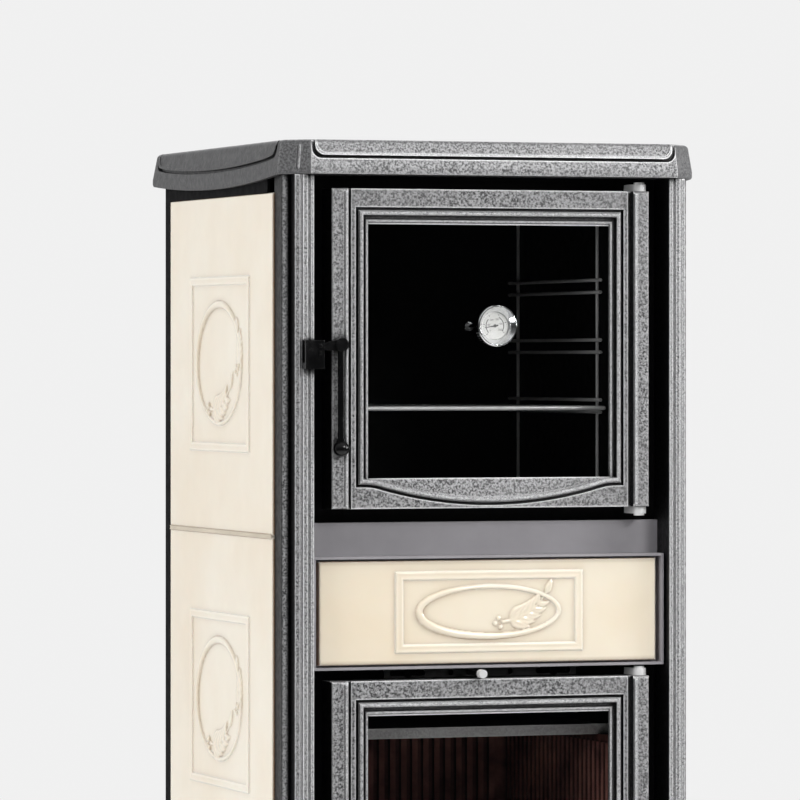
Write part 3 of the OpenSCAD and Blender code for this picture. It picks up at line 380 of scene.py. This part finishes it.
PITS = (0.02, 0.02, 0.021)
# Dark grain, iron colour, and a near-white painted highlight for edges
GRAIN_AND_HIGHLIGHT = (PITS, (0.36, 0.36, 0.365), (0.95, 0.95, 0.96))
# Plain iron: its near-white third colour is a painted highlight on edges, and its hollows get
# painted shade
IRON = cast_iron("cast_iron", PITS, (0.30, 0.30, 0.305), (0.92, 0.92, 0.93))
# Doors, columns and base: painted highlights on edges, painted shade in hollows, and near-black
# painted shade on flanks and undersides
IRON_PAINTED_LIGHT_SHADE = cast_iron("iron_painted_light_shade", *GRAIN_AND_HIGHLIGHT, flank_shade=SHADE_BLACK)
# Top plate: painted highlights on edges, painted shade in hollows, and painted shade darkening
# flanks and undersides
PLATE_IRON = cast_iron("plate_iron", *GRAIN_AND_HIGHLIGHT, flank_shade=(0.055, 0.055, 0.057), turn=(0.55, 0.95))
# Iron painted pale all over, with near-white edges, as a painted highlight for the smoke baffle,
# which sits in shade
PALE_HIGHLIT_IRON = cast_iron("bright_iron", (0.62, 0.61, 0.60), (0.86, 0.85, 0.84), (0.96, 0.96, 0.95))
LINING = scorched("lining_iron", (0.25, 0.105, 0.090), (0.44, 0.20, 0.15))
# Black steel with little shine: its near-black stands for black paint and, in the recesses round
# the doors, for painted shade
BLACK_PAINT_AND_SHADE = painted("black_steel", (0.0025, 0.0025, 0.003), 0.8, gloss=0.12)
BACK_PAINT = painted("back_paint", (0.020, 0.020, 0.021), 0.55, gloss=0.4)
GREY = painted("grey_steel", (0.255, 0.245, 0.26), 0.5, grain=0.6 * MM, spread=0.14)
HANDLE = painted("black_handle", (0.002, 0.002, 0.0022), 0.20, grain=0.1 * MM, gloss=0.35)
ENAMEL = painted("black_enamel", (0.0012, 0.0014, 0.0016), 0.6, grain=0.1 * MM, gloss=0.2)
GROUT = painted("pale_cement", (0.55, 0.49, 0.40), 0.85, grain=0.3 * MM, spread=0.12)
PRINT = painted("needle_black", grey(0.012), 0.45, grain=0.05 * MM)
STEEL = plain_steel("steel", grey(0.78), 0.26)
WIRE = plain_steel("bright_wire", grey(0.95), 0.35, metallic=0.35)
CHROME = plain_steel("chrome", (0.92, 0.93, 0.94), 0.06)
TILE = glazed_tile("ceramic_tile")
GLASS = pane("door_glass", (0.0005, 0.0005, 0.0006), 0.20)
LENS = pane("lens_glass", grey(0.8), 0.10)
ROPE = woven_rope("rope_seal")
DIAL = enamel_white("dial_white")
KNOB_DEPTH = 10 * MM
SLIDER = tipped("slider_paint", grey(0.004), grey(0.90), low("secondary_air_slider")[1], KNOB_DEPTH)

BY_SLOT = {
    "cast_iron": IRON, "bright_iron": PALE_HIGHLIT_IRON, "lining_iron": LINING, "black_steel": BLACK_PAINT_AND_SHADE,
    "grey_steel": GREY, "black_handle": HANDLE, "black_enamel": ENAMEL, "steel": STEEL,
    "chrome": CHROME, "ceramic_tile": TILE, "door_glass": GLASS, "lens_glass": LENS,
    "rope_seal": ROPE, "dial_white": DIAL, "needle_black": PRINT,
}
BY_NODE = {
    "front_column_left": IRON_PAINTED_LIGHT_SHADE, "front_column_right": IRON_PAINTED_LIGHT_SHADE,
    "oven_door_casting": IRON_PAINTED_LIGHT_SHADE, "fire_door_casting": IRON_PAINTED_LIGHT_SHADE,
    "ash_drawer": IRON_PAINTED_LIGHT_SHADE, "base_frame": IRON_PAINTED_LIGHT_SHADE,
    "top_plate": PLATE_IRON, "smoke_baffle": PALE_HIGHLIT_IRON,
    "rear_heat_shield": BACK_PAINT, "casing_back": BACK_PAINT, "levelling_feet": BACK_PAINT,
    "oven_shelf": WIRE, "oven_side_racks": WIRE, "hinge_brackets": WIRE,
    "secondary_air_slider": SLIDER,
}


def dress_nodes():
    """Every CAD node gets the material kept for it, or that of its slot in the record."""
    for row in frame["record"]["subparts"]:
        mesh = nodes[row["node"]].data
        mesh.materials.clear()
        mesh.materials.append(BY_NODE.get(row["node"]) or BY_SLOT[row["material_slot"]])


# ---- Tile carving: a height field of an oval, a stem, leaves and berries ----

TILE_THICK = 12 * MM
CARVING_STEP = 1.1 * MM
CARVING_EDGE = 0.06 * MM     # lower than this counts as bare tile
CARVING_SUNK = 0.3 * MM      # how far the carving's rim goes into the tile
RING_HALF_W = 84 * MM
STRIP_RING_HALF_H = 28 * MM
SIDE_RING_HALF_H = 69 * MM
RING_THICK, RING_THIN, RING_RISE = 4.6 * MM, 1.6 * MM, 3.2 * MM
STRIP_PATCH = (100 * MM, 36 * MM)    # half sizes of the field that holds each carving
SIDE_PATCH = (98 * MM, 90 * MM)

# Sizes of a spray of size 1; turns and leans are in radians
STEM_LENGTH, STEM_TURN, STEM_STEPS = 62 * MM, 0.9, 20
STEM_HALF, STEM_TAPER, STEM_RISE = 2.2 * MM, 1.2 * MM, 1.8 * MM
LEAF_PAIRS, FIRST_PAIR, PAIR_STEP = 5, 3, 3       # the last two in steps of the stem
LEAF_LENGTH, LEAF_SHORTER = 25 * MM, 2.2 * MM     # and how much shorter each next pair is
LEAF_WIDTH, LEAF_NARROWER, LEAF_STEPS = 5.4 * MM, 0.5 * MM, 14
LEAF_LEAN, LEAF_TURN, LEAF_RISE, LEAF_GROOVE = 0.85, 0.6, 2.4 * MM, 0.9 * MM
TIP_LENGTH, TIP_WIDTH, TIP_TURN = 20 * MM, 4.2 * MM, 0.5
BERRY_R = 3.0 * MM
BERRIES = ((-5, 4), (-9, -2), (-3, -6))           # from the stem's root, in millimetres


def dome(distance, width, height):
    """Height of a rounded ridge of half width `width` at a distance from its middle line."""
    return height * np.sqrt(np.clip(1 - (distance / width) ** 2, 0, 1))


def bend_points(start, heading, length, turn, count):
    """Points along a curve that leaves start at a heading and turns steadily."""
    points = [np.array(start, float)]
    for k in range(count):
        a = heading + turn * (k + 0.5) / count
        points.append(points[-1] + length / count * np.array([math.cos(a), math.sin(a)]))
    return np.array(points)


def along(x, y, path):
    """For each grid point: its distance from a path, and how far along the path that is."""
    best = np.full(x.shape, 1e9)
    place = np.zeros(x.shape)
    for k in range(len(path) - 1):
        a, d = path[k], path[k + 1] - path[k]
        t = np.clip(((x - a[0]) * d[0] + (y - a[1]) * d[1]) / (d @ d), 0, 1)
        distance = np.hypot(x - a[0] - t * d[0], y - a[1] - t * d[1])
        closer = distance < best
        best = np.where(closer, distance, best)
        place = np.where(closer, (k + t) / (len(path) - 1), place)
    return best, place


def leaf_height(x, y, start, heading, length, width, turn):
    """A pointed leaf with a groove down its middle."""
    distance, t = along(x, y, bend_points(start, heading, length, turn, LEAF_STEPS))
    half = width * np.sin(np.pi * np.clip(t, 0.001, 0.999) ** 0.75) + 0.2 * MM
    swell = np.sin(np.pi * t)
    groove = LEAF_GROOVE * np.exp(-(distance / LEAF_GROOVE) ** 2) * swell
    return dome(distance, half, LEAF_RISE * (0.55 + 0.45 * swell)) - groove


def ring_height(x, y, half_w, half_h, heavy_at):
    """An oval ring that swells towards the angle heavy_at."""
    angle = np.arctan2(y / half_h, x / half_w)
    radius = np.hypot(x / half_w, y / half_h)
    reach = half_w * half_h / np.hypot(half_h * np.cos(angle), half_w * np.sin(angle))
    swell = 0.5 + 0.5 * np.cos(angle - heavy_at)
    width = RING_THIN + (RING_THICK - RING_THIN) * swell
    return dome(np.abs(radius - 1) * reach, width, RING_RISE * (0.6 + 0.4 * swell))


def berry_height(x, y, cx, cy, r):
    return dome(np.hypot(x - cx, y - cy), r, r * 0.75)


def spray(x, y, root, heading, size):
    """Leaves in pairs along a curved stem that ends in a leaf, with berries at its root."""
    stem = bend_points(root, heading, STEM_LENGTH * size, STEM_TURN, STEM_STEPS)
    distance, t = along(x, y, stem)
    parts = [dome(distance, STEM_HALF - STEM_TAPER * t, STEM_RISE)]
    for k in range(LEAF_PAIRS):
        at = FIRST_PAIR + PAIR_STEP * k
        direction = math.atan2(*(stem[at + 1] - stem[at])[::-1])
        length = (LEAF_LENGTH - LEAF_SHORTER * k) * size
        width = (LEAF_WIDTH - LEAF_NARROWER * k) * size
        for side in (-1, 1):
            lean, turn = side * LEAF_LEAN, -side * LEAF_TURN
            parts.append(leaf_height(x, y, stem[at], direction + lean, length, width, turn))
    end = math.atan2(*(stem[-1] - stem[-2])[::-1])
    tip = (TIP_LENGTH * size, TIP_WIDTH * size, TIP_TURN)
    parts.append(leaf_height(x, y, stem[-1], end, *tip))
    for dx, dy in BERRIES:
        parts.append(berry_height(x, y, root[0] + dx * MM, root[1] + dy * MM, BERRY_R * size))
    return np.maximum.reduce(parts)


def strip_carving(x, y):
    """The flat oval of a strip tile, with one spray in its right half."""
    ring = ring_height(x, y, RING_HALF_W, STRIP_RING_HALF_H, math.radians(215))
    return np.maximum(ring, spray(x, y, (16 * MM, -12 * MM), math.radians(5), 1.0))


def side_carving(x, y):
    """The oval of a side tile, a large spray low in it and a small one at its right."""
    ring = ring_height(x, y, RING_HALF_W, SIDE_RING_HALF_H, math.radians(120))
    large = spray(x, y, (-34 * MM, -52 * MM), math.radians(-8), 1.25)
    small = spray(x, y, (70 * MM, -6 * MM), math.radians(62), 0.8)
    return np.maximum.reduce([ring, large, small])


def carve(name, patch, field, place):
    """A mesh of the raised part of a height field, set on a tile's face by place(x, y, height)."""
    nx, ny = (round(2 * half / CARVING_STEP) for half in patch)
    xs, ys = (np.linspace(-half, half, n + 1) for half, n in zip(patch, (nx, ny)))
    x, y = np.meshgrid(xs, ys, indexing="ij")
    height = field(x, y)
    raised = height > CARVING_EDGE
    height = np.where(raised, height, -CARVING_SUNK)
    keep = raised[:-1, :-1] | raised[1:, :-1] | raised[:-1, 1:] | raised[1:, 1:]
    used = np.zeros(raised.shape, bool)
    for i, j in ((0, 0), (1, 0), (0, 1), (1, 1)):
        used[i:i + nx, j:j + ny] |= keep
    index = np.cumsum(used.ravel()).reshape(used.shape) - 1
    points = [place(x[ij], y[ij], height[ij]) for ij in zip(*np.nonzero(used))]
    faces = [(index[i, j], index[i + 1, j], index[i + 1, j + 1], index[i, j + 1])
             for i, j in zip(*np.nonzero(keep))]
    piece = add_piece(name, points, faces, TILE, "range_body", "ceramic_tile")
    smooth = piece.modifiers.new("soften", "SMOOTH")
    smooth.factor = 0.5
    smooth.iterations = 2


def carve_tiles():
    """Carving on both strip tiles and all six side tiles, each on its tile's front face."""
    face = high("strip_tile_upper")[1] - TILE_THICK
    for level in ("upper", "lower"):
        centre = middle("strip_tile_" + level)
        carve("carving_strip_" + level, STRIP_PATCH, strip_carving,
              lambda x, y, h, c=centre: (c[0] + x, face - h, c[2] + y))
    for side, name in SIDES:
        for level in LEVELS:
            node = f"side_tile_{name}_{level}"
            centre = middle(node)
            inner = (high(node) if side < 0 else low(node))[0]
            plane = inner + side * TILE_THICK
            carve(f"carving_{name}_{level}", SIDE_PATCH, side_carving,
                  lambda x, y, h, c=centre, p=plane, s=side: (p + s * h, c[1] + s * x, c[2] + y))


# ---- Joints between the side tiles ----

GROUT_SUNK = 0.9 * MM        # behind the tiles' faces at the joint's edges
GROUT_DEEP = 6 * MM
GROUT_LAP = 1.2 * MM         # how far it reaches past each tile's edge
GROUT_INSET = 1.0 * MM       # from the tiles' front and back edges
GROUT_HOLLOW = ((0.0, 0.0), (0.2, 0.35), (0.5, 0.55), (0.8, 0.35), (1.0, 0.0))  # way up, mm deep


def grout_joints():
    """Pale cement in the joints between the side tiles, a little hollow."""
    for side, name in SIDES:
        tiles = [f"side_tile_{name}_{level}" for level in LEVELS]
        lo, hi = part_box(tiles[0])
        face = (lo if side < 0 else hi)[0]
        shapes = []
        for below, above in zip(tiles, tiles[1:]):
            z0, z1 = high(below)[2] - GROUT_LAP, low(above)[2] + GROUT_LAP
            profile = [(GROUT_SUNK + d * MM, z0 + (z1 - z0) * t) for t, d in GROUT_HOLLOW]
            profile += [(GROUT_DEEP, z1), (GROUT_DEEP, z0)]
            ends = (lo[1] + GROUT_INSET, hi[1] - GROUT_INSET)
            points = [(face - side * d, y, z) for y in ends for d, z in profile]
            count = len(profile)
            caps = [tuple(range(count)), tuple(range(count, 2 * count))]
            shapes.append((points, band(0, count, count) + caps))
        points, faces = merge(shapes)
        add_piece(f"grout_{name}", points, faces, GROUT, "range_body", "ceramic_tile", False)


# ---- Rope seals ----

ROPE_SIDES = 16
ROPE_CORNER = 9 * MM
ROPE_CORNER_STEPS = 6
ROPE_STEP = 2.2 * MM
ROPE_FACETS = 8              # the plain CAD seal's section is an octagon
STRANDS = 4
STRAND_DEPTH = 0.10          # of the rope's radius
STRAND_TWIST = 1.1           # radians in each step
ROPE_FILL = 0.99             # of the CAD seal's radius


def rope_seal(name, node, body):
    """A braided rope round the door's back, in place of the plain CAD seal."""
    lo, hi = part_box(node)
    r = (hi[1] - lo[1]) / 2 / math.cos(math.pi / ROPE_FACETS)
    y = (lo[1] + hi[1]) / 2
    inset = r + ROPE_CORNER
    x0, x1, z0, z1 = lo[0] + inset, hi[0] - inset, lo[2] + inset, hi[2] - inset
    path = []
    for cx, cz, start in ((x1, z1, 0), (x0, z1, 90), (x0, z0, 180), (x1, z0, 270)):
        for k in range(ROPE_CORNER_STEPS + 1):
            a = math.radians(start + 90 * k / ROPE_CORNER_STEPS)
            path.append(Vector((cx + ROPE_CORNER * math.cos(a), y, cz + ROPE_CORNER * math.sin(a))))
    dense = []
    for a, b in zip(path, path[1:] + path[:1]):
        steps = max(1, round((b - a).length / ROPE_STEP))
        dense += [a.lerp(b, k / steps) for k in range(steps)]
    inwards = Vector((0, 1, 0))
    points, faces = [], []
    count = len(dense)
    for i, p in enumerate(dense):
        following = (i + 1) % count
        out = (dense[following] - dense[i - 1]).normalized().cross(inwards).normalized()
        for a, spoke in spokes(out, inwards, ROPE_SIDES):
            one, other = (0.5 + 0.5 * math.cos(STRANDS * a + twist)
                          for twist in (i * STRAND_TWIST, -i * STRAND_TWIST))
            points.append(p + spoke * r * (1 - STRAND_DEPTH * one * other) * ROPE_FILL)
        faces += band(i * ROPE_SIDES, following * ROPE_SIDES, ROPE_SIDES)
    piece = add_piece(name, points, faces, ROPE, body, "rope_seal")
    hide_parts(node)


# ---- Screws ----

SCREW_R = 3.2 * MM
SCREW_RISE = 1.6 * MM
SCREW_SUNK = 0.3 * MM
SCREW_PROFILE = (            # parts of the radius and of the rise
    (1, 0.25), (0.92, 0.6), (0.7, 0.88), (0.42, 1), (0.34, 1), (0.26, 0.45), (0.02, 0.4),
)
SCREW_FROM_EDGE = 16 * MM
SCREWS_A_SIDE = 5
SHIELD_END = 20 * MM         # from the shield's ends to its first and last screw
TRIM_FIRST = 0.12            # height of the trims' first screw, and the step to the next
TRIM_STEP = 0.25


def screw(x, y, z):
    """A round-headed screw with a recessed middle, on a face that looks backwards."""
    profile = [(SCREW_R * across, SCREW_RISE * up) for across, up in SCREW_PROFILE]
    return lathe([(SCREW_R, -SCREW_SUNK)] + profile, (x, y, z), (0, 1, 0), turns=24)


def rear_screws():
    """Screws up both edges of the heat shield and up both rear corner trims."""
    lo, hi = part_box("rear_heat_shield")
    trim_y = high("rear_corner_left")[1]
    trim_x = high("rear_corner_right")[0] - SCREW_FROM_EDGE
    shield_x = hi[0] - SCREW_FROM_EDGE
    step = (hi[2] - lo[2] - 2 * SHIELD_END) / (SCREWS_A_SIDE - 1)
    heads = []
    for side, _ in SIDES:
        for k in range(SCREWS_A_SIDE):
            heads.append(screw(side * shield_x, hi[1], lo[2] + SHIELD_END + k * step))
            heads.append(screw(side * trim_x, trim_y, TRIM_FIRST + k * TRIM_STEP))
    add_piece("rear_screws", *merge(heads), STEEL, "range_body", "steel")


# ---- Thermometer dial ----

DIAL_START = 225.0           # degrees, anticlockwise from the right, at the scale's low end
DIAL_SWEEP = 260.0
DIAL_NUMBERS = ("0", "100", "200", "300", "400", "500")
DIAL_TICKS = 25              # steps between the small ticks
LONG_TICK_EVERY = 5
TICK_OUT, TICK_IN, LONG_TICK_IN = 0.93, 0.86, 0.80      # radii, as parts of the dial's
TICK_HALF, LONG_TICK_HALF = 0.20 * MM, 0.40 * MM
ARC_OUT, ARC_IN, NUMBER_AT = 0.72, 0.66, 0.50
NUMBER_SIZE = 3.0 * MM
DIAL_ARCS = ((0.0, 0.34), (0.62, 1.0))                  # parts of the sweep
ARC_STEPS = 24
PRINT_RISE = 0.05 * MM


def dial_marks():
    """Scale ring, ticks and plain numbers on the dial."""
    centre = joint_place("thermometer_needle_turn")
    lo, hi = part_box("thermometer_dial")
    face = lo[1] - PRINT_RISE
    r = (hi[0] - lo[0]) / 2

    def at(radius, part, aside=0.0):
        """The place at a part of the dial's radius and of its sweep, moved aside in metres."""
        a = math.radians(DIAL_START - DIAL_SWEEP * part)
        u, c, s = radius * r, math.cos(a), math.sin(a)
        return (centre[0] + u * c - aside * s, face, centre[2] + u * s + aside * c)

    def print_on(name, quads):
        marks = merge([(quad, [(0, 1, 2, 3)]) for quad in quads])
        add_piece(name, *marks, PRINT, "oven_door", "needle_black", smooth=False)

    ticks = []
    for k in range(DIAL_TICKS + 1):
        is_long = k % LONG_TICK_EVERY == 0
        inner, half = (LONG_TICK_IN, LONG_TICK_HALF) if is_long else (TICK_IN, TICK_HALF)
        corners = ((inner, -half), (TICK_OUT, -half), (TICK_OUT, half), (inner, half))
        ticks.append([at(radius, k / DIAL_TICKS, aside) for radius, aside in corners])
    print_on("dial_ticks", ticks)
    arcs = []
    for start, end in DIAL_ARCS:
        parts = [start + (end - start) * k / ARC_STEPS for k in range(ARC_STEPS + 1)]
        for p0, p1 in zip(parts, parts[1:]):
            arcs.append([at(ARC_IN, p0), at(ARC_OUT, p0), at(ARC_OUT, p1), at(ARC_IN, p1)])
    print_on("dial_arcs", arcs)
    for k, number in enumerate(DIAL_NUMBERS):
        curve = bpy.data.curves.new(f"dial_number_{number}", "FONT")
        curve.body = number
        curve.size = NUMBER_SIZE
        curve.align_x = curve.align_y = "CENTER"
        curve.materials.append(PRINT)
        text = put(f"dial_number_{number}", curve)
        text.rotation_euler = (math.pi / 2, 0, 0)
        text.location = at(NUMBER_AT, k / (len(DIAL_NUMBERS) - 1))
        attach(text, "oven_door")


# ---- Stage ----

CAMERA_YAW = math.radians(19.57)
CAMERA_DISTANCE = 6.49
CAMERA_HEIGHT = 1.013
CAMERA_LENS = 249.75
CAMERA_SENSOR = 36
CAMERA_SEES = 60
SHIFT_X = -0.026
SHIFT_Y = -0.049


def camera():
    data = bpy.data.cameras.new("camera")
    data.lens = CAMERA_LENS
    data.sensor_width = CAMERA_SENSOR
    data.shift_x = SHIFT_X
    data.shift_y = SHIFT_Y
    data.clip_end = CAMERA_SEES
    cam = put("camera", data)
    cam.location = (-CAMERA_DISTANCE * math.sin(CAMERA_YAW),
                    -CAMERA_DISTANCE * math.cos(CAMERA_YAW), CAMERA_HEIGHT)
    cam.rotation_euler = (math.pi / 2, 0, -CAMERA_YAW)
    bpy.context.scene.camera = cam


LAMPS_AIM = (0, 0, 0.8)
LAMPS = (                    # name, place, size, watts, and whether surfaces mirror it
    ("key", (1.5, -3.3, 2.7), 1.3, 67, True),
    ("right", (3.2, -1.3, 1.6), 1.2, 55, True),
    ("fill", (-4.1, -1.3, 1.6), 2.2, 105, False),
    ("top", (0.3, -1.0, 3.5), 1.8, 50, False),
    ("back", (-1.5, 3.6, 2.2), 2.0, 50, False),
)


def lights():
    """Round soft lamps that all point at the cooker."""
    for name, place, size, watts, mirrored in LAMPS:
        data = bpy.data.lights.new(name, "AREA")
        data.shape = "DISK"
        data.size = size
        data.energy = watts
        lamp = put(name, data)
        lamp.location = place
        way = Vector(LAMPS_AIM) - Vector(place)
        lamp.rotation_euler = way.to_track_quat("-Z", "Y").to_euler()
        lamp.visible_glossy = mirrored


FLOOR_HALF = 5.0
FLOOR_FADE = (0.9, 2.6)      # metres from the middle, where the floor starts and ends its fade
FLOOR_GLOW = 0.45
FLOOR_DROP = 0.5 * MM        # below the feet


def floor():
    """A pale floor that keeps the cooker's shadow and fades into the backdrop."""
    n = Surface("floor", grey(0.80), 0.9)
    n.set("Base Color", n.patches(0.7, 0.79, 0.81))
    reach = n.new("ShaderNodeVectorMath", {0: n.place}, operation="LENGTH")["Value"]
    n.set("Alpha", n.between(reach, 1.0, 0.0, *FLOOR_FADE, smooth=True))
    rays = n.new("ShaderNodeLightPath", {})
    n.set("Emission Color", WHITE)
    n.set("Emission Strength", n.math("MULTIPLY", rays["Is Camera Ray"], FLOOR_GLOW))
    h = FLOOR_HALF
    mesh = bpy.data.meshes.new("floor")
    mesh.from_pydata([(-h, -h, 0), (h, -h, 0), (h, h, 0), (-h, h, 0)], [], [(0, 1, 2, 3)])
    mesh.materials.append(n.material)
    plane = put("floor", mesh)
    plane.location.z = -FLOOR_DROP


BACKDROP = 0.875
AMBIENT = 0.38
BEHIND = (0.0, 0.45)         # how far back a mirrored ray looks where the backdrop fades in
MIRRORED = [(0.0, 0.30), (0.44, 0.04), (0.56, 0.05), (0.72, 0.42), (1.0, 0.55)]


def world():
    """Soft ambient light and a pale backdrop. Glaze and metal mirror the backdrop behind the
    cooker, and in front of it a room that is dark at eye level and paler above and below."""
    w = bpy.data.worlds.new("world")
    bpy.context.scene.world = w
    n = Tree(w)
    rays = n.new("ShaderNodeLightPath", {})
    seen = n.math("MAXIMUM", rays["Is Camera Ray"], rays["Is Transmission Ray"])
    direction = n.new("ShaderNodeTexCoord", {})["Generated"]
    heading = n.new("ShaderNodeSeparateXYZ", {0: direction})
    room = n.ramp(n.between(heading["Z"], 0.0, 1.0, from_min=-1.0), MIRRORED)
    mirrored = n.between(heading["Y"], room, BACKDROP, *BEHIND, smooth=True)
    unseen = n.between(rays["Is Glossy Ray"], AMBIENT, mirrored)
    background = n.tree.nodes["Background"]
    n.feed(background.inputs["Strength"], n.between(seen, unseen, BACKDROP))
    n.feed(background.inputs["Color"], WHITE)


dress_nodes()
carve_tiles()
grout_joints()
rope_seal("oven_rope", "oven_door_gasket", "oven_door")
rope_seal("fire_rope", "fire_door_gasket", "fire_door")
rear_screws()
dial_marks()
floor()
camera()
lights()
world()
bpy.context.scene.view_settings.view_transform = "Standard"
